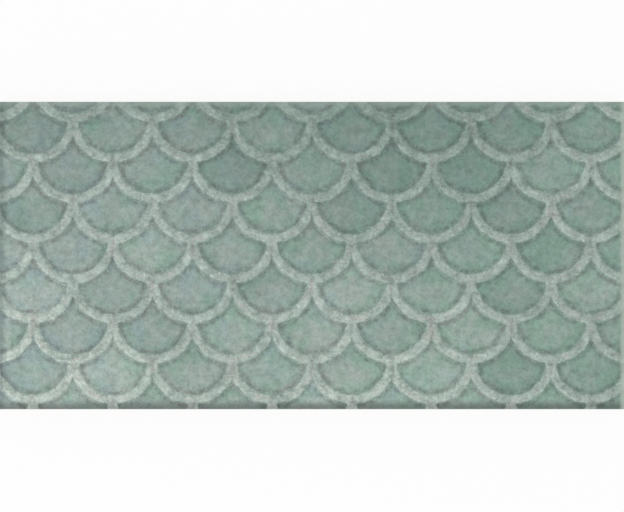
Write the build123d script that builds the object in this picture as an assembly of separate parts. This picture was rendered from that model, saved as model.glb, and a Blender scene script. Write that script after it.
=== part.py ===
from build123d import *
import os

# Glazed wall tile with a raised scallop relief, in millimetres.
# X runs along the tile, +Y is towards its top edge as it hangs on a wall and +Z is out of its face.
# The origin is the middle of the bed face, which is the back that goes into the adhesive.

# Whole tile
tile_length = 200.0
tile_width = 98.4
tile_thickness = 8.0
face_edge_radius = 1.8
back_edge_chamfer = 0.5

# Scallop relief: rows of round ribs, each row half a scale to the side of the one above it
relief_height = 0.7
scale_pitch = 25.48
row_pitch = 12.86
rib_radius = 12.61
rib_crown_width = 2.1
rib_foot_width = 3.6
top_row_rise = 7.42

# Keying relief on the back: square pockets between lands that carry the tile
key_pitch = 14.5
key_land_width = 3.0
key_depth = 0.6
key_wall_draft = 40.0
key_border = 7.2

# A cutter stands this far proud of the face that it cuts
cutter_overshoot = 0.5


def blank():
    """Plain slab with cushioned edges round its face and a broken edge round its back."""
    slab = Box(tile_length, tile_width, tile_thickness, align=(Align.CENTER, Align.CENTER, Align.MIN))
    slab = fillet(slab.edges().group_by(Axis.Z)[-1], face_edge_radius)
    return chamfer(slab.edges().group_by(Axis.Z)[0], back_edge_chamfer)


def drafted_disc(foot_radius, crown_radius):
    """Cone that stands on the field and passes through a rib's foot and crown circles."""
    height = relief_height + cutter_overshoot
    top_radius = foot_radius + (crown_radius - foot_radius) * height / relief_height
    return Cone(foot_radius, top_radius, height, align=(Align.CENTER, Align.CENTER, Align.MIN))


def scale_pocket():
    """Space over one scale's field: inside its own rib and outside the two ribs that overlap it from above."""
    own_rib_inside = drafted_disc(rib_radius - rib_foot_width / 2, rib_radius - rib_crown_width / 2)
    rib_outside = drafted_disc(rib_radius + rib_foot_width / 2, rib_radius + rib_crown_width / 2)
    upper_left = Pos(-scale_pitch / 2, row_pitch) * rib_outside
    upper_right = Pos(scale_pitch / 2, row_pitch) * rib_outside
    return own_rib_inside - upper_left - upper_right


def scale_centres():
    """Centres of all the rib circles whose fields reach onto the tile, row by row from the top."""
    top_row = tile_width / 2 + top_row_rise
    lowest_row = -tile_width / 2 - row_pitch / 2
    side_reach = tile_length / 2 + rib_radius - rib_foot_width / 2
    rows = int((top_row - lowest_row) / row_pitch) + 1
    columns = 2 * int(side_reach / scale_pitch) + 3
    centres = []
    for row in range(rows):
        # Even rows have a scale on the tile's middle line, odd rows have two beside it
        first = -(columns // 2) - (row % 2) / 2
        for column in range(columns):
            x = (first + column) * scale_pitch
            if abs(x) < side_reach:
                centres.append((x, top_row - row * row_pitch))
    return centres


def face_pockets():
    """Every scale's pocket at its place on the face."""
    field_level = tile_thickness - relief_height
    pocket = scale_pocket()
    return [Pos(x, y, field_level) * pocket for x, y in scale_centres()]


def keying_pockets():
    """Drafted pockets of the back inside its border, in an even number of rows so that a land crosses the middle."""
    key_length = tile_length - 2 * key_border + key_land_width
    key_width = tile_width - 2 * key_border + key_land_width
    columns = round(key_length / key_pitch)
    rows = 2 * round(key_width / (2 * key_pitch))
    step_x = key_length / columns
    step_y = key_width / rows
    opening = Rectangle(step_x - key_land_width, step_y - key_land_width)
    pocket = extrude(opening, amount=key_depth, taper=key_wall_draft)
    return [place * pocket for place in GridLocations(step_x, step_y, columns, rows)]


os.makedirs("parts", exist_ok=True)
scallop_tile = blank() - face_pockets() - keying_pockets()
export_step(scallop_tile, "parts/scallop_tile.step")
print("solids", len(scallop_tile.solids()), "faces", len(scallop_tile.faces()))
print("volume", round(scallop_tile.volume), "mm3")
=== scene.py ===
import math
from typing import NamedTuple

import bmesh
import bpy
import numpy as np
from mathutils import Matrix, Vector
from mathutils.geometry import delaunay_2d_cdt


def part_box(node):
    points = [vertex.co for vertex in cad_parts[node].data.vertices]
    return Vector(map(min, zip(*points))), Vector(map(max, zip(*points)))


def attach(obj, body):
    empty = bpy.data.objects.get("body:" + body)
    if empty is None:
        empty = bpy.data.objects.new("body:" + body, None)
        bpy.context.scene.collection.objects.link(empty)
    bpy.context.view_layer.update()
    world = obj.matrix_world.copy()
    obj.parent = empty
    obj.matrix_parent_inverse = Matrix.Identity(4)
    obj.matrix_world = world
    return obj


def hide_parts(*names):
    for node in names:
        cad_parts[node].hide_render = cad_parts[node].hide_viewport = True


# The frame, and the tile's sizes read from it. Shapes are worked out in millimetres.
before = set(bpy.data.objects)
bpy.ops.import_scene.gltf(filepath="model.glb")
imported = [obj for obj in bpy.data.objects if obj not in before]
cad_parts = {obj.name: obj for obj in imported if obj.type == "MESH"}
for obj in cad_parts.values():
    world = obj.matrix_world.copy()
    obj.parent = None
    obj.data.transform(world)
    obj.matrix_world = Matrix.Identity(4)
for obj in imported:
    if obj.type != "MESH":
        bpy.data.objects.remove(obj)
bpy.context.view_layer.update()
MM = 0.001
NODE = "scallop_tile"
low_corner, high_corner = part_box(NODE)
TILE_LENGTH = (high_corner.x - low_corner.x) / MM
TILE_WIDTH = (high_corner.y - low_corner.y) / MM
TILE_THICKNESS = (high_corner.z - low_corner.z) / MM

# The relief, with the same sizes as the CAD part
SCALE_PITCH = 25.48
ROW_PITCH = 12.86
RIB_RADIUS = 12.61
RELIEF_HEIGHT = 0.7
TOP_ROW_RISE = 7.42
FACE_EDGE_RADIUS = 1.8
BACK_EDGE_CHAMFER = 0.5

# How the fired glaze rounds the relief, by distance from a rib's middle line, and how deep a field is dished
WALL_START = 0.75
WALL_END = 2.05
FIELD_DISH = 0.06
FIELD_DISH_REACH = 4.0

# Mesh lines, steps and tolerances. The line on the crown reaches just past the middle of the stem, where
# neighbouring scales meet, and the other lines follow the ribs at offsets from it.
CROWN_LINE_RADIUS = SCALE_PITCH / 2 + 0.01
RING_OFFSETS = (0.0, 0.38, 0.68, 0.92, 1.16, 1.4, 1.64, 1.9, 2.2, 2.7)
RING_STEP = 0.66
FIELD_STEP = 0.86
FIELD_CLEARANCE = 0.6 * FIELD_STEP
EDGE_CUTS = 6
CUT_REACH = 1.5
POINT_KEYS_PER_MM = 1000
CUT_TOLERANCE = 1e-5
TRIANGULATION_TOLERANCE = 1e-6
SHARP_EDGE_ANGLE = math.radians(50)

# Width over which a rib's inner side turns into its outer side, and the seed of the scales' own tones
RIB_SIDE_BLEND = 0.5
TONE_SEED = 7

# Keying pockets of the back
KEY_PITCH = 14.5
KEY_LAND = 3.0
KEY_DEPTH = 0.6
KEY_WALL_RUN = 0.5
KEY_BORDER = 7.2
KEY_CORNER = 1.2
KEY_CORNER_STEPS = 3


def smoothstep(low, high, value):
    share = np.clip((value - low) / (high - low), 0.0, 1.0)
    return share * share * (3.0 - 2.0 * share)


# One scale, seen from the middle of its own rib circle

UPPER_LEFT = (-SCALE_PITCH / 2, ROW_PITCH)
UPPER_RIGHT = (SCALE_PITCH / 2, ROW_PITCH)


def circle_meeting(centre, radius, own_radius):
    """Where a circle round an upper neighbour crosses one round the scale's own centre, beside the scale."""
    cx, cy = centre
    apart = math.hypot(cx, cy)
    along = (own_radius**2 - radius**2 + apart**2) / (2 * apart)
    aside = math.sqrt(own_radius**2 - along**2)
    ux, uy = cx / apart, cy / apart
    side = -1 if cx > 0 else 1
    return ux * along - side * uy * aside, uy * along + side * ux * aside


def arc(centre, radius, start, end, step):
    """Points from start to end round a centre, the end left out, at about the step given."""
    first = math.atan2(start[1] - centre[1], start[0] - centre[0])
    last = math.atan2(end[1] - centre[1], end[0] - centre[0])
    count = max(2, round(abs(last - first) * radius / step))
    angles = [first + (last - first) * n / count for n in range(count)]
    return [(centre[0] + radius * math.cos(a), centre[1] + radius * math.sin(a)) for a in angles]


def scale_ring(offset):
    """Closed outline that keeps one distance from the crown lines of the three ribs round a scale."""
    own = CROWN_LINE_RADIUS - offset
    upper = CROWN_LINE_RADIUS + offset
    half = SCALE_PITCH / 2
    cusp = (0.0, ROW_PITCH - math.sqrt(upper**2 - half**2))
    bottom = (0.0, -own)
    if offset == 0:
        side_low = -math.sqrt(own**2 - half**2)
        side_high = ROW_PITCH - upper
        right_low, right_high = (half, side_low), (half, side_high)
        left_low, left_high = (-half, side_low), (-half, side_high)
        steps = max(1, round((side_high - side_low) / RING_STEP))
        rises = [side_low + (side_high - side_low) * n / steps for n in range(steps)]
        right_side = [(half, y) for y in rises]
        left_side = [(-half, side_low + side_high - y) for y in rises]
    else:
        left_low = left_high = circle_meeting(UPPER_LEFT, upper, own)
        right_low = right_high = (-left_low[0], left_low[1])
        right_side = left_side = []
    ring = arc((0, 0), own, left_low, bottom, RING_STEP)
    ring += arc((0, 0), own, bottom, right_low, RING_STEP)
    ring += right_side
    ring += arc(UPPER_RIGHT, upper, right_high, cusp, RING_STEP)
    ring += arc(UPPER_LEFT, upper, cusp, left_high, RING_STEP)
    ring += left_side
    return ring


def rib_gaps(x, y):
    """Distances of points of a scale from the middle lines of its own rib and of the two above it."""
    own = RIB_RADIUS - np.hypot(x, y)
    left = np.hypot(x - UPPER_LEFT[0], y - UPPER_LEFT[1]) - RIB_RADIUS
    right = np.hypot(x - UPPER_RIGHT[0], y - UPPER_RIGHT[1]) - RIB_RADIUS
    return own, left, right


def scale_mesh():
    """Points and triangles of one scale from rib middle to rib middle, with lines that follow the ribs."""
    points = []
    edges = []
    for offset in RING_OFFSETS:
        ring = scale_ring(offset)
        first = len(points)
        points += ring
        edges += [(first + n, first + (n + 1) % len(ring)) for n in range(len(ring))]
    outline = list(range(len(scale_ring(RING_OFFSETS[0]))))
    row_step = FIELD_STEP * math.sqrt(3) / 2
    rows = int(2 * RIB_RADIUS / row_step)
    for row in range(-rows, rows + 1):
        for column in range(-rows, rows + 1):
            x = (column + (row % 2) / 2) * FIELD_STEP
            y = row * row_step
            if min(rib_gaps(x, y)) > RING_OFFSETS[-1] + FIELD_CLEARANCE:
                points.append((x, y))
    found = delaunay_2d_cdt([Vector(p) for p in points], edges, [outline], 1, TRIANGULATION_TOLERANCE)
    return np.array([tuple(v) for v in found[0]]), np.array(found[2])


def scale_centres():
    """Centres of all the rib circles whose scales reach onto the tile, row by row from the top."""
    top_row = TILE_WIDTH / 2 + TOP_ROW_RISE
    rows = int((top_row + TILE_WIDTH / 2 + ROW_PITCH) / ROW_PITCH) + 1
    columns = 2 * int(TILE_LENGTH / 2 / SCALE_PITCH) + 5
    centres = []
    for row in range(-1, rows):
        first = -(columns // 2) - (row % 2) / 2
        for column in range(columns):
            centres.append(((first + column) * SCALE_PITCH, top_row - row * ROW_PITCH))
    return centres


def face_arrays():
    """The whole face as merged points and triangles, with what each point needs for its height and glaze."""
    points, triangles = scale_mesh()
    own, left, right = rib_gaps(points[:, 0], points[:, 1])
    gaps = np.sort(np.abs([own, left, right]), axis=0)
    outward = np.where(np.abs(own) <= gaps[0], -own, np.minimum(left, right))
    side = np.clip(outward / RIB_SIDE_BLEND, -1.0, 1.0)
    chance = np.random.default_rng(TONE_SEED)
    all_points, all_triangles, all_values = [], [], []
    reach_x = TILE_LENGTH / 2 + SCALE_PITCH / 2
    reach_y = TILE_WIDTH / 2 + RIB_RADIUS
    placed = 0
    for x, y in scale_centres():
        tone = chance.uniform(-1, 1)
        if abs(x) >= reach_x or abs(y) >= reach_y:
            continue
        all_points.append(points + (x, y))
        all_triangles.append(triangles + placed)
        all_values.append(np.stack([gaps[0], gaps[1], side, np.full(len(points), tone)], axis=1))
        placed += len(points)
    xy = np.concatenate(all_points)
    keys = np.round(xy * POINT_KEYS_PER_MM).astype(np.int64)
    first, merged = np.unique(keys, axis=0, return_index=True, return_inverse=True)[1:]
    faces = merged.reshape(-1)[np.concatenate(all_triangles)]
    return xy[first], faces, np.concatenate(all_values)[first]


def relief_level(gap):
    """Height of the glazed face above the bed, at a distance from the nearest rib's middle line."""
    wall = smoothstep(WALL_START, WALL_END, gap)
    dish = smoothstep(WALL_END, WALL_END + FIELD_DISH_REACH, gap)
    return TILE_THICKNESS - RELIEF_HEIGHT * wall - FIELD_DISH * dish


def cut_line(bm, normal, distance, clear):
    """Cuts the faces near a vertical plane along it, and clears what lies beyond it if asked."""
    direction = Vector(normal)
    near = [v for v in bm.verts if abs(v.co.dot(direction) - distance) < CUT_REACH]
    faces = {f for v in near for f in v.link_faces}
    edges = {e for f in faces for e in f.edges}
    verts = {v for f in faces for v in f.verts}
    bmesh.ops.bisect_plane(
        bm,
        geom=list(verts) + list(edges) + list(faces),
        dist=CUT_TOLERANCE,
        plane_co=direction * distance,
        plane_no=direction,
    )
    if clear:
        beyond = [v for v in bm.verts if v.co.dot(direction) > distance + 10 * CUT_TOLERANCE]
        bmesh.ops.delete(bm, geom=beyond, context="VERTS")


def rounded_rectangle(x, y, width, depth, radius):
    """Outline points of a rectangle with round corners, anticlockwise."""
    outline = []
    for quarter in range(4):
        sx = 1 if quarter in (0, 3) else -1
        sy = 1 if quarter in (0, 1) else -1
        for n in range(KEY_CORNER_STEPS + 1):
            angle = math.pi / 2 * (quarter + n / KEY_CORNER_STEPS)
            px = x + sx * (width / 2 - radius) + radius * math.cos(angle)
            py = y + sy * (depth / 2 - radius) + radius * math.sin(angle)
            outline.append((px, py))
    return outline


def key_grid():
    """Centres and opening of the keying pockets, laid out as on the CAD part."""
    key_length = TILE_LENGTH - 2 * KEY_BORDER + KEY_LAND
    key_width = TILE_WIDTH - 2 * KEY_BORDER + KEY_LAND
    columns = round(key_length / KEY_PITCH)
    rows = 2 * round(key_width / (2 * KEY_PITCH))
    step_x = key_length / columns
    step_y = key_width / rows
    centres = [
        ((column - (columns - 1) / 2) * step_x, (row - (rows - 1) / 2) * step_y)
        for row in range(rows)
        for column in range(columns)
    ]
    return centres, step_x - KEY_LAND, step_y - KEY_LAND


def add_key_pocket(bm, x, y, opening_x, opening_y):
    """Walls and floor of one keying pocket; returns the vertices round its mouth."""
    floor_x = opening_x - 2 * KEY_WALL_RUN
    floor_y = opening_y - 2 * KEY_WALL_RUN
    mouth = rounded_rectangle(x, y, opening_x, opening_y, KEY_CORNER)
    pocket_floor = rounded_rectangle(x, y, floor_x, floor_y, KEY_CORNER - KEY_WALL_RUN)
    mouth_verts = [bm.verts.new((px, py, 0.0)) for px, py in mouth]
    floor_verts = [bm.verts.new((px, py, KEY_DEPTH)) for px, py in pocket_floor]
    for n, vert in enumerate(mouth_verts):
        after = (n + 1) % len(mouth_verts)
        bm.faces.new((vert, mouth_verts[after], floor_verts[after], floor_verts[n]))
    bm.faces.new(floor_verts)
    return mouth_verts


def add_back(bm, rim):
    """Closes the bed face: lands from the rim to the pockets' mouths, and the pockets themselves."""
    verts = list({v for e in rim for v in e.verts})
    place = {v: n for n, v in enumerate(verts)}
    edges = [(place[e.verts[0]], place[e.verts[1]]) for e in rim]
    loop = [-1] * len(verts)
    centres, opening_x, opening_y = key_grid()
    for pocket, (x, y) in enumerate(centres):
        mouth = add_key_pocket(bm, x, y, opening_x, opening_y)
        first = len(verts)
        verts += mouth
        loop += [pocket] * len(mouth)
        edges += [(first + n, first + (n + 1) % len(mouth)) for n in range(len(mouth))]
    found = delaunay_2d_cdt([v.co.to_2d() for v in verts], edges, [], 0, TRIANGULATION_TOLERANCE)
    origin = [sources[0] for sources in found[3]]
    for triangle in found[2]:
        corners = [origin[n] for n in triangle]
        over = {loop[n] for n in corners}
        # Three corners round one mouth span the open pocket
        if len(over) > 1 or -1 in over:
            bm.faces.new([verts[n] for n in corners])


def extrude_rim(bm, rim, inset, level):
    """Carries the rim's edges on to a new level, drawn in from the tile's full size by the inset."""
    made = bmesh.ops.extrude_edge_only(bm, edges=rim)["geom"]
    for v in made:
        if isinstance(v, bmesh.types.BMVert):
            v.co.x *= 1 - inset / (TILE_LENGTH / 2)
            v.co.y *= 1 - inset / (TILE_WIDTH / 2)
            v.co.z = level
    return [e for e in made if isinstance(e, bmesh.types.BMEdge) and len(e.link_faces) == 1]


def glazed_tile():
    """The whole tile as one closed mesh: relief, cushioned edges, sides and keyed back."""
    xy, faces, values = face_arrays()
    mesh = bpy.data.meshes.new("glazed_tile")
    mesh.from_pydata([(x, y, 0.0) for x, y in xy], [], faces.tolist())
    names = ("rib_gap", "next_gap", "rib_side", "scale_tone")
    for column, name in enumerate(names):
        layer = mesh.attributes.new(name, "FLOAT", "POINT")
        layer.data.foreach_set("value", values[:, column].astype(np.float32))
    bm = bmesh.new()
    bm.from_mesh(mesh)
    half_x, half_y = TILE_LENGTH / 2, TILE_WIDTH / 2
    sides = (((1, 0, 0), half_x), ((-1, 0, 0), half_x), ((0, 1, 0), half_y), ((0, -1, 0), half_y))
    for normal, distance in sides:
        cut_line(bm, normal, distance, True)
    for normal, distance in sides:
        for n in range(1, EDGE_CUTS + 1):
            inset = FACE_EDGE_RADIUS * (1 - math.cos(math.pi / 2 * n / EDGE_CUTS))
            cut_line(bm, normal, distance - inset, False)
    gap_layer = bm.verts.layers.float["rib_gap"]
    rim_level = TILE_THICKNESS - FACE_EDGE_RADIUS
    for v in bm.verts:
        level = float(relief_level(v[gap_layer]))
        edge = max(0.0, min(half_x - abs(v.co.x), half_y - abs(v.co.y)))
        radius = level - rim_level
        if edge < radius:
            level = rim_level + math.sqrt(max(0.0, radius**2 - (radius - edge) ** 2))
        v.co.z = level
    rim = [e for e in bm.edges if len(e.link_faces) == 1]
    rim = extrude_rim(bm, rim, 0.0, BACK_EDGE_CHAMFER)
    rim = extrude_rim(bm, rim, BACK_EDGE_CHAMFER, 0.0)
    add_back(bm, rim)
    bmesh.ops.triangulate(bm, faces=[f for f in bm.faces if len(f.verts) > 4])
    bmesh.ops.recalc_face_normals(bm, faces=bm.faces)
    bmesh.ops.scale(bm, vec=(MM, MM, MM), verts=bm.verts)
    for f in bm.faces:
        f.smooth = True
    bm.to_mesh(mesh)
    bm.free()
    mesh.set_sharp_from_angle(angle=SHARP_EDGE_ANGLE)
    tile = bpy.data.objects.new("glazed_tile", mesh)
    bpy.context.scene.collection.objects.link(tile)
    return tile


tile = glazed_tile()
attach(tile, "root")
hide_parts(NODE)

# Glaze and clay colours, as linear light. Thin glaze lies on the ribs, deep glaze in the fields.
GREEN_GLAZE = (0.220, 0.351, 0.286)
GREY_GLAZE = (0.293, 0.363, 0.327)
BLUE_GLAZE = (0.252, 0.350, 0.348)
RIM_GLAZE = (0.332, 0.420, 0.374)
ROSE_GLAZE = (0.368, 0.396, 0.370)
# Pale colour of the painted light along the right and top edges
LIT_BORDER_COLOUR = (0.450, 0.535, 0.468)
CLAY = (0.56, 0.47, 0.37)

# How the three channels follow a change of tone: deep glaze over large areas turns greener as it darkens
# These channels also carry the painted light falloff across the tile
COARSE_TONE = (1.20, 0.96, 1.0)
FINE_TONE = (1.10, 0.98, 1.03)
# Channels of the painted shade along the left edge
LEFT_BORDER_TONE = (1.06, 0.96, 0.98)

# The share of its light that pooled glaze takes, channel by channel, and how strong pooling is and may get
POOL_TAKES = (0.225, 0.255, 0.245)
POOL_STRENGTH = 0.92
MOST_POOLING = 1.7


class Pattern(NamedTuple):
    """Noise of the glaze or clay: the size of its blotches in millimetres, how strong it is, and its kind."""

    size: float
    amount: float
    detail: float
    roughness: float = 0.5
    offset: tuple = (0.0, 0.0, 0.0)


# Where the glaze lies: its flow over the face, its creep at the ribs' edges and its pooling at their feet
FLOW = Pattern(9.0, 3.0, 1.0)
BROAD_CREEP = Pattern(2.8, 0.46, 1.0)
FINE_CREEP = Pattern(1.1, 0.34, 1.0)
UNEVEN_POOL = Pattern(1.9, 2.9, 2.0, 0.8, (3.0, 59.0, 1.0))

# Its hues
GREY_OR_GREEN = Pattern(10.0, 1.0, 3.0, 0.7)
BLUE_SHARE = Pattern(9.0, 1.0, 3.0, 0.65, (71.0, 13.0, 5.0))
ROSE_SHARE = Pattern(4.2, 1.0, 2.0, 0.55, (7.0, 31.0, 2.0))

# Its tones, from the whole tile down to the grain
TILE_DRIFT = Pattern(62.0, 0.10, 1.0)
BLOTCHES = Pattern(7.0, 0.16, 2.0, 0.6)
CLOUDS = Pattern(3.4, 1.0, 1.0, 0.5, (5.0, 9.0, 40.0))
STREAKS = Pattern(1.6, 0.05, 2.0, 0.6)
STREAK_STRETCH = (1.0, 0.22, 1.0)
GRAIN = Pattern(2.3, 1.0, 3.0, 0.9)
# Pale specks of frosty glaze on the ribs, which along the rims stand in for painted glints
FROST_AND_GLINTS = Pattern(1.3, 1.0, 1.0)
PITS = Pattern(0.8, 1.0, 1.0, 0.5, (11.0, 2.0, 9.0))

# The glaze line and the clay
GLAZE_LINE = Pattern(14.0, 1.6, 3.0, 0.6)
CLAY_CLOUDS = Pattern(30.0, 0.12, 2.0)
CLAY_GRAIN = Pattern(1.2, 0.22, 3.0, 0.8)

# Roughness of glaze and clay
GLOSS_CLOUDS = Pattern(5.0, 0.10, 2.0)
GLOSS_GRAIN = Pattern(0.8, 0.12, 1.0)
CLAY_ROUGHNESS = Pattern(2.0, 0.12, 2.0)

# Heights in millimetres: lazy waves and fine pitting of the glaze, grit of the clay
WAVES = Pattern(5.5, 0.05, 1.0)
SKIN = Pattern(1.0, 1.0, 2.0, 0.6)
GRIT = Pattern(0.7, 0.09, 3.0, 0.7)

# Lighter and darker areas of the face, each with its middle on the face, its reach and its tone
TONE_AREAS = (
    (6.0, 52.0, 58.0, -0.10),
    (100.0, 49.0, 36.0, 0.34),
    (-100.0, -38.0, 46.0, 0.09),
    (25.0, -49.0, 34.0, 0.06),
    (-30.0, -32.0, 42.0, -0.08),
    (85.0, -36.0, 46.0, -0.08),
    (80.0, 12.0, 38.0, 0.10),
)
TONE_AREA_LEVEL = 7.0

# Levels above the bed between which the ribs' colours start, and the glaze line's mean level
PATTERN_LEVELS = (5.8, 7.1)
GLAZE_LINE_LEVEL = 4.4

# Distances from the middle line of the nearest rib, in millimetres, between which the glaze changes
RIB_EDGE = (1.15, 1.70)
RIM_START = (0.0, 0.9)
OUTER_SIDE = (-0.9, 0.5)
POOL_START = (1.2, 2.05)
POOL_END = (2.2, 3.7)
CORNER_END = (1.6, 3.4)
FIELD_MIDDLE = (3.0, 7.5)

# The same from the second nearest rib, and from the middle of a stem between two scales
CORNER_REACH = (1.8, 3.9)
CORNER_POOLING = 0.75
CROSSING_REACH = (0.8, 3.0)
STEM_EDGE = (0.2, 1.2)

# The same from the tile's four edges, and from the glaze line on its sides
LEFT_BORDER = (0.0, 3.0)
RIGHT_BORDER = (0.4, 1.9)
BOTTOM_BORDER = (0.6, 3.5)
TOP_BORDER = (0.4, 2.2)
GLAZE_EDGE = (-0.12, 0.12)
GLAZE_LIP = (0.1, 0.9)

# Pinholes: about how far apart their places are, the share of places that stay empty, and their edge
PINHOLE_PITCH = 5.5
PINHOLE_CHOICE = (0.80, 0.82)
PINHOLE_EDGE = (0.03, 0.06)

# Hues: what makes a field greyer, what makes a rib rosier, and the spans over which each hue takes over
HUE_DRIFT_ALONG = -0.0016
GREY_IN_MIDDLE = 0.18
GREY_BIAS = -0.02
GREY_SPAN = (-0.34, 0.40)
BLUE_SPAN = (-0.05, 0.50)
MOST_BLUE = 0.75
ROSE_AT_RIM = -0.45
ROSE_AT_STEM = 0.25
ROSE_BIAS = -0.02
ROSE_SPAN = (-0.35, 0.5)

# Tones of large areas: painted light that falls off for each millimetre up and along the tile, and a darker
# band at the top
LIGHT_FALLOFF_UP = -0.0033
LIGHT_FALLOFF_ALONG = -0.0012
TOP_BAND = (26.0, 50.0)
TOP_BAND_TONE = -0.065

# Pairs of amounts: the first holds off the field, rib or rim that is named, and the second on it
OWN_TONE_IN_FIELD = (0.03, 0.11)
CLOUDS_ON_RIB = (0.10, 0.24)
GRAIN_ON_RIB = (0.55, 0.93)
FROST_AND_GLINTS_ON_RIM = (0.02, 0.32)
# Painted shade along the bottom edge, off and on the ribs
BOTTOM_SHADE_ON_RIB = (0.58, 0.34)
ROUGHNESS_ON_RIB = (0.26, 0.36)
SKIN_ON_RIB = (0.022, 0.036)

# Small tones: spans of noise over which frost with painted glints and pits appear, and how much lighter or
# darker things are
MEAN_FINE_TONE = -0.015
FROST_AND_GLINT_SPAN = (0.10, 0.5)
PIT_SPAN = (0.22, 0.5)
PIT_TONE = -0.14
# Painted highlight on the ribs' outer shoulders, where the glaze also breaks a little thinner
OUTER_RIM_HIGHLIGHT = 0.045
STEM_TONE = -0.11
CROSSING_TONE = -0.03
# Painted shade along the left edge, and painted light along the right and top edges
LEFT_BORDER_SHADE = 0.42
RIGHT_BORDER_LIGHT = 0.75
TOP_BORDER_LIGHT = 0.27
PINHOLE_SHADE = 0.35
LIP_SHADE = 0.16

# Surface: roughness, index of refraction, and heights in millimetres
PINHOLE_ROUGHNESS = 0.3
CLAY_MEAN_ROUGHNESS = 0.86
GLAZE_IOR = 1.5
PINHOLE_DEPTH = 0.12
LIP_HEIGHT = 0.05
CLAY_DROP = 0.08


class Graph:
    """A material's nodes, each made with one short call from numbers, colours and other nodes' outputs."""

    def __init__(self, name):
        self.material = bpy.data.materials.new(name)
        self.material.use_nodes = True
        self.nodes = self.material.node_tree.nodes
        self.links = self.material.node_tree.links
        self.nodes.clear()

    def feed(self, socket, value):
        if isinstance(value, bpy.types.NodeSocket):
            self.links.new(value, socket)
        elif isinstance(value, tuple) and len(value) == 3 and socket.type == "RGBA":
            socket.default_value = (*value, 1.0)
        else:
            socket.default_value = value

    def node(self, kind, inputs, **settings):
        made = self.nodes.new(kind)
        for name, value in settings.items():
            setattr(made, name, value)
        for name, value in inputs.items():
            self.feed(made.inputs[name], value)
        return made

    def math(self, operation, a, b=0.0):
        return self.node("ShaderNodeMath", {0: a, 1: b}, operation=operation).outputs[0]

    def vector(self, operation, a, b):
        return self.node("ShaderNodeVectorMath", {0: a, 1: b}, operation=operation).outputs[0]

    def scaled(self, a, scale):
        return self.node("ShaderNodeVectorMath", {0: a, "Scale": scale}, operation="SCALE").outputs[0]

    def step(self, value, low, high, start=0.0, end=1.0):
        """Runs smoothly from start to end while the value runs from low to high."""
        inputs = {"Value": value, "From Min": low, "From Max": high, "To Min": start, "To Max": end}
        return self.node("ShaderNodeMapRange", inputs, interpolation_type="SMOOTHSTEP").outputs[0]

    def fall(self, value, low, high, start=1.0):
        """Runs smoothly from start to nothing while the value runs from low to high."""
        return self.step(value, low, high, start, 0.0)

    def attribute(self, name):
        return self.node("ShaderNodeAttribute", {}, attribute_name=name).outputs["Fac"]

    def noise_inputs(self, place, pattern):
        if any(pattern.offset):
            place = self.vector("ADD", place, pattern.offset)
        kind = {"Detail": pattern.detail, "Roughness": pattern.roughness}
        return {"Vector": place, "Scale": 1.0 / pattern.size, **kind}

    def noise(self, place, pattern):
        """A pattern's noise about zero, as strong as the pattern's amount."""
        found = self.node("ShaderNodeTexNoise", self.noise_inputs(place, pattern)).outputs["Fac"]
        centred = self.math("MULTIPLY", self.math("SUBTRACT", found, 0.5), 2.0)
        return self.product(centred, pattern.amount)

    def warp(self, place, pattern):
        """A place moved about by a pattern's noise, by its amount in millimetres."""
        found = self.node("ShaderNodeTexNoise", self.noise_inputs(place, pattern)).outputs["Color"]
        centred = self.scaled(self.vector("SUBTRACT", found, (0.5, 0.5, 0.5)), 2.0)
        return self.vector("ADD", place, self.scaled(centred, pattern.amount))

    def mix(self, share, a, b):
        made = self.node("ShaderNodeMix", {}, data_type="RGBA")
        self.feed(made.inputs[0], share)
        self.feed(made.inputs[6], a)
        self.feed(made.inputs[7], b)
        return made.outputs[2]

    def toned(self, colour, change, channels):
        """A colour made lighter or darker by a share, each channel in its own measure."""
        factor = self.vector("ADD", self.scaled(channels, change), (1.0, 1.0, 1.0))
        return self.vector("MULTIPLY", colour, factor)

    def darker(self, colour, share):
        """A colour made darker by a share, or lighter where the share is negative."""
        return self.scaled(colour, self.math("SUBTRACT", 1.0, share))

    def sum(self, *values):
        total = values[0]
        for value in values[1:]:
            total = self.math("ADD", total, value)
        return total

    def product(self, *values):
        total = values[0]
        for value in values[1:]:
            total = self.math("MULTIPLY", total, value)
        return total

    def rest(self, share):
        return self.math("SUBTRACT", 1.0, share)

    def either(self, share, low, high):
        """Low where the share is nothing and high where it is one."""
        return self.sum(low, self.product(share, high - low))


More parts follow.
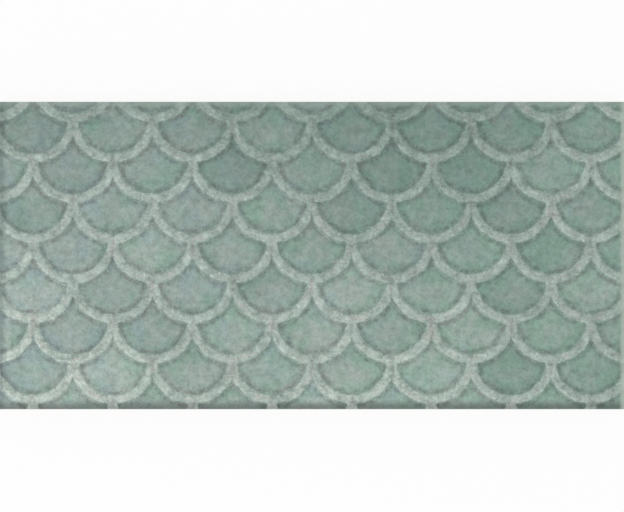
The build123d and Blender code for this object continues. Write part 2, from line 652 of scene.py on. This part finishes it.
class Zones:
    """Where on the tile a point lies, as shares between nothing and one."""

    def __init__(self, g, place, x, y, z):
        creep = g.sum(g.noise(place, BROAD_CREEP), g.noise(place, FINE_CREEP))
        gap = g.sum(g.attribute("rib_gap"), creep)
        next_gap = g.sum(g.attribute("next_gap"), creep)
        on_face = g.step(z, *PATTERN_LEVELS)
        side_distance = g.product(gap, g.attribute("rib_side"))
        stem_distance = g.math("PINGPONG", x, SCALE_PITCH / 4)
        self.rib = g.product(g.fall(gap, *RIB_EDGE), on_face)
        self.field = g.rest(self.rib)
        self.rim = g.product(g.step(gap, *RIM_START), self.rib)
        # The outer shoulder of each rib, which gets a painted highlight
        self.lit_outer_rim = g.product(g.step(side_distance, *OUTER_SIDE), self.rib)
        self.stem = g.product(g.fall(stem_distance, *STEM_EDGE), self.rib)
        self.crossing = g.product(g.fall(next_gap, *CROSSING_REACH), self.rib)
        self.middle = g.step(gap, *FIELD_MIDDLE)
        uneven = g.sum(1.0, g.noise(place, UNEVEN_POOL))
        pool = g.product(g.step(gap, *POOL_START), g.fall(gap, *POOL_END), uneven, on_face)
        corner = g.fall(next_gap, *CORNER_REACH, CORNER_POOLING)
        corner = g.product(corner, g.fall(gap, *CORNER_END), self.field)
        self.pooling = g.math("MAXIMUM", g.math("MINIMUM", g.sum(pool, corner), MOST_POOLING), 0.0)
        self.left = g.fall(g.sum(x, TILE_LENGTH / 2), *LEFT_BORDER)
        self.right = g.fall(g.math("SUBTRACT", TILE_LENGTH / 2, x), *RIGHT_BORDER)
        self.bottom = g.fall(g.sum(y, TILE_WIDTH / 2), *BOTTOM_BORDER)
        self.top = g.fall(g.math("SUBTRACT", TILE_WIDTH / 2, y), *TOP_BORDER)
        over_line = g.math("SUBTRACT", z, g.sum(GLAZE_LINE_LEVEL, g.noise(place, GLAZE_LINE)))
        self.bare = g.fall(over_line, *GLAZE_EDGE)
        self.lip = g.fall(over_line, *GLAZE_LIP)
        pins = g.node("ShaderNodeTexVoronoi", {"Vector": place, "Scale": 1 / PINHOLE_PITCH}).outputs
        cell = g.node("ShaderNodeSeparateColor", {0: pins["Color"]}).outputs[0]
        self.pinhole = g.product(g.fall(pins["Distance"], *PINHOLE_EDGE), g.step(cell, *PINHOLE_CHOICE))


def hues(g, zones, place, flow, x):
    """Greens, greys and blues that flow into each other in the fields, rose and pale green on the ribs."""
    greyness = g.sum(
        g.noise(flow, GREY_OR_GREEN),
        g.product(zones.middle, GREY_IN_MIDDLE),
        g.product(x, HUE_DRIFT_ALONG),
        GREY_BIAS,
    )
    blueness = g.sum(g.noise(place, BLUE_SHARE), g.product(x, HUE_DRIFT_ALONG))
    rosiness = g.sum(
        g.noise(place, ROSE_SHARE),
        g.product(zones.rim, ROSE_AT_RIM),
        g.product(zones.stem, ROSE_AT_STEM),
        ROSE_BIAS,
    )
    deep = g.mix(g.step(greyness, *GREY_SPAN), GREEN_GLAZE, GREY_GLAZE)
    deep = g.mix(g.step(blueness, *BLUE_SPAN, 0.0, MOST_BLUE), deep, BLUE_GLAZE)
    thin = g.mix(g.step(rosiness, *ROSE_SPAN), RIM_GLAZE, ROSE_GLAZE)
    return g.mix(zones.rib, deep, thin)


def coarse_tone(g, zones, place, x, y):
    """Painted light that falls off from the lower left, slow drifts and lighter and darker areas over the
    tile, and each scale's own depth of glaze.
    """
    tone = g.sum(
        g.product(y, LIGHT_FALLOFF_UP),
        g.product(x, LIGHT_FALLOFF_ALONG),
        g.noise(place, TILE_DRIFT),
        g.product(g.step(y, *TOP_BAND), TOP_BAND_TONE),
    )
    for area_x, area_y, reach, change in TONE_AREAS:
        middle = (area_x, area_y, TONE_AREA_LEVEL)
        inputs = {0: place, 1: middle}
        apart = g.node("ShaderNodeVectorMath", inputs, operation="DISTANCE").outputs["Value"]
        tone = g.sum(tone, g.product(g.fall(apart, 0.0, reach), change))
    own_tone = g.product(g.attribute("scale_tone"), g.either(zones.field, *OWN_TONE_IN_FIELD))
    return g.sum(tone, own_tone)


def fine_tone(g, zones, place, flow):
    """Blotches, clouds, streaks, grain, frost with painted glints along the rib rims, pits, a painted
    highlight on the ribs' outer shoulders, and small differences along the ribs.
    """
    # Frosty specks, and painted glints where they gather on the rib rims
    frost_and_glints = g.step(g.noise(place, FROST_AND_GLINTS), *FROST_AND_GLINT_SPAN)
    pits = g.step(g.noise(place, PITS), *PIT_SPAN)
    return g.sum(
        MEAN_FINE_TONE,
        g.noise(flow, BLOTCHES),
        g.product(g.noise(flow, CLOUDS), g.either(zones.rib, *CLOUDS_ON_RIB)),
        g.noise(g.vector("MULTIPLY", flow, STREAK_STRETCH), STREAKS),
        g.product(g.noise(place, GRAIN), g.either(zones.rib, *GRAIN_ON_RIB)),
        g.product(frost_and_glints, zones.rib, g.either(zones.rim, *FROST_AND_GLINTS_ON_RIM)),
        g.product(pits, zones.field, PIT_TONE),
        g.product(zones.lit_outer_rim, OUTER_RIM_HIGHLIGHT),
        g.product(zones.stem, STEM_TONE),
        g.product(zones.crossing, CROSSING_TONE),
    )


def glaze_colour(g, zones, place, flow, x, y):
    """Mottled glaze, pooled at the ribs' feet, with painted shade along the left and bottom edges and painted
    light along the right and top edges.
    """
    glaze = hues(g, zones, place, flow, x)
    glaze = g.toned(glaze, g.product(zones.pooling, -POOL_STRENGTH), POOL_TAKES)
    glaze = g.toned(glaze, coarse_tone(g, zones, place, x, y), COARSE_TONE)
    glaze = g.toned(glaze, fine_tone(g, zones, place, flow), FINE_TONE)
    # Painted shade along the left and bottom edges, and painted light along the right and top edges
    glaze = g.toned(glaze, g.product(zones.left, -LEFT_BORDER_SHADE), LEFT_BORDER_TONE)
    glaze = g.darker(glaze, g.product(zones.bottom, g.either(zones.rib, *BOTTOM_SHADE_ON_RIB)))
    right = g.product(zones.right, RIGHT_BORDER_LIGHT)
    top = g.product(zones.top, TOP_BORDER_LIGHT)
    glaze = g.mix(g.math("MAXIMUM", right, top), glaze, LIT_BORDER_COLOUR)
    glaze = g.darker(glaze, g.product(zones.pinhole, PINHOLE_SHADE))
    return g.darker(glaze, g.product(zones.lip, LIP_SHADE))


def surface_roughness(g, zones, place, flow):
    """Gloss of the glaze, dulled on the ribs and in pinholes, and dry clay."""
    glaze = g.sum(
        g.either(zones.rib, *ROUGHNESS_ON_RIB),
        g.noise(flow, GLOSS_CLOUDS),
        g.noise(place, GLOSS_GRAIN),
        g.product(zones.pinhole, PINHOLE_ROUGHNESS),
    )
    clay = g.sum(CLAY_MEAN_ROUGHNESS, g.noise(place, CLAY_ROUGHNESS))
    return g.sum(g.product(glaze, g.rest(zones.bare)), g.product(clay, zones.bare))


def surface_height(g, zones, place):
    """Waves, skin, pinholes and rolled lip of the glaze, and the clay's grit a little lower."""
    glaze = g.sum(
        g.noise(place, WAVES),
        g.product(g.noise(place, SKIN), g.either(zones.rib, *SKIN_ON_RIB)),
        g.product(zones.pinhole, -PINHOLE_DEPTH),
        g.product(zones.lip, LIP_HEIGHT),
    )
    clay = g.sum(g.noise(place, GRIT), -CLAY_DROP)
    return g.sum(g.product(glaze, g.rest(zones.bare)), g.product(clay, zones.bare))


def glazed_ceramic():
    """Mottled glaze that pools at the feet of the ribs and breaks paler on them, with painted highlights and
    glints on the ribs' shoulders, painted shade along the left and bottom edges and painted light along the
    right and top edges, and bare clay behind.
    """
    g = Graph("glazed_ceramic")
    place = g.scaled(g.node("ShaderNodeTexCoord", {}).outputs["Object"], 1 / MM)
    x, y, z = g.node("ShaderNodeSeparateXYZ", {0: place}).outputs
    flow = g.warp(place, FLOW)
    zones = Zones(g, place, x, y, z)
    clay_tone = g.sum(1.0, g.noise(place, CLAY_CLOUDS), g.noise(place, CLAY_GRAIN))
    glaze = glaze_colour(g, zones, place, flow, x, y)
    colour = g.mix(zones.bare, glaze, g.scaled(CLAY, clay_tone))
    roughness = surface_roughness(g, zones, place, flow)
    height = surface_height(g, zones, place)
    bump = g.node("ShaderNodeBump", {"Height": height, "Distance": MM, "Strength": 1.0})
    inputs = {"Base Color": colour, "Roughness": roughness, "IOR": GLAZE_IOR, "Normal": bump.outputs[0]}
    shader = g.node("ShaderNodeBsdfPrincipled", inputs)
    g.node("ShaderNodeOutputMaterial", {"Surface": shader.outputs[0]})
    return g.material


tile.data.materials.append(glazed_ceramic())

# Floor and world. Both look white to the camera and in reflections, and light the tile plainly.
SKY_LIGHT = 0.80
FLOOR_WHITE = 0.9
FLOOR_PAINT = (0.93, 0.93, 0.93)
FLOOR_REACH = 4


def seen_rays(nodes, links):
    """One for rays from the camera, reflections and transmission, and zero for the rays that carry light."""
    path = nodes.new("ShaderNodeLightPath")
    first = nodes.new("ShaderNodeMath")
    first.operation = "MAXIMUM"
    links.new(path.outputs["Is Camera Ray"], first.inputs[0])
    links.new(path.outputs["Is Glossy Ray"], first.inputs[1])
    both = nodes.new("ShaderNodeMath")
    both.operation = "MAXIMUM"
    links.new(first.outputs[0], both.inputs[0])
    links.new(path.outputs["Is Transmission Ray"], both.inputs[1])
    return both.outputs[0]


def floor_material():
    g = Graph("floor")
    paint = g.node("ShaderNodeBsdfDiffuse", {"Color": FLOOR_PAINT})
    white = g.node("ShaderNodeEmission", {"Color": (1.0, 1.0, 1.0), "Strength": 1.0})
    share = g.product(seen_rays(g.nodes, g.links), FLOOR_WHITE)
    mixed = g.node("ShaderNodeMixShader", {0: share, 1: paint.outputs[0], 2: white.outputs[0]})
    g.node("ShaderNodeOutputMaterial", {"Surface": mixed.outputs[0]})
    return g.material


floor_mesh = bpy.data.meshes.new("floor")
floor_signs = ((-1, -1), (1, -1), (1, 1), (-1, 1))
floor_corners = [(sx * FLOOR_REACH, sy * FLOOR_REACH, 0) for sx, sy in floor_signs]
floor_mesh.from_pydata(floor_corners, [], [(0, 1, 2, 3)])
floor_mesh.materials.append(floor_material())
floor = bpy.data.objects.new("floor", floor_mesh)
bpy.context.scene.collection.objects.link(floor)

world = bpy.data.worlds.new("studio")
bpy.context.scene.world = world
world.use_nodes = True
sky = world.node_tree.nodes["Background"]
sky.inputs["Color"].default_value = (1, 1, 1, 1)
strength = world.node_tree.nodes.new("ShaderNodeMapRange")
world.node_tree.links.new(seen_rays(world.node_tree.nodes, world.node_tree.links), strength.inputs["Value"])
strength.inputs["To Min"].default_value = SKY_LIGHT
strength.inputs["To Max"].default_value = 1.0
world.node_tree.links.new(strength.outputs[0], sky.inputs["Strength"])

# Soft key light from the lower left of the picture
KEY_PLACE = Vector((-0.55, -0.6, 1.15))
KEY_SIZE = 1.2
KEY_POWER = 3.8
key_data = bpy.data.lights.new("key", "AREA")
key_data.shape = "DISK"
key_data.size = KEY_SIZE
key_data.energy = KEY_POWER
key = bpy.data.objects.new("key", key_data)
key.location = KEY_PLACE
key.rotation_euler = KEY_PLACE.to_track_quat("Z", "Y").to_euler()
bpy.context.scene.collection.objects.link(key)

# Camera straight above the tile. The picture's middle is a hair below the tile's, and the tile fills the
# picture's width with half a pixel over at each side.
CAMERA_HEIGHT = 2.0
CAMERA_DROP = 0.16 * MM
PICTURE_WIDTH = 624
FILL = (PICTURE_WIDTH + 1) / PICTURE_WIDTH
SENSOR_WIDTH = 36
camera_data = bpy.data.cameras.new("camera")
camera_data.sensor_width = SENSOR_WIDTH
rim_height = (TILE_THICKNESS - FACE_EDGE_RADIUS) * MM
camera_data.lens = SENSOR_WIDTH * FILL * (CAMERA_HEIGHT - rim_height) / (TILE_LENGTH * MM)
camera = bpy.data.objects.new("camera", camera_data)
camera.location = (0, -CAMERA_DROP, CAMERA_HEIGHT)
bpy.context.scene.collection.objects.link(camera)
bpy.context.scene.camera = camera
bpy.context.scene.view_settings.view_transform = "Standard"
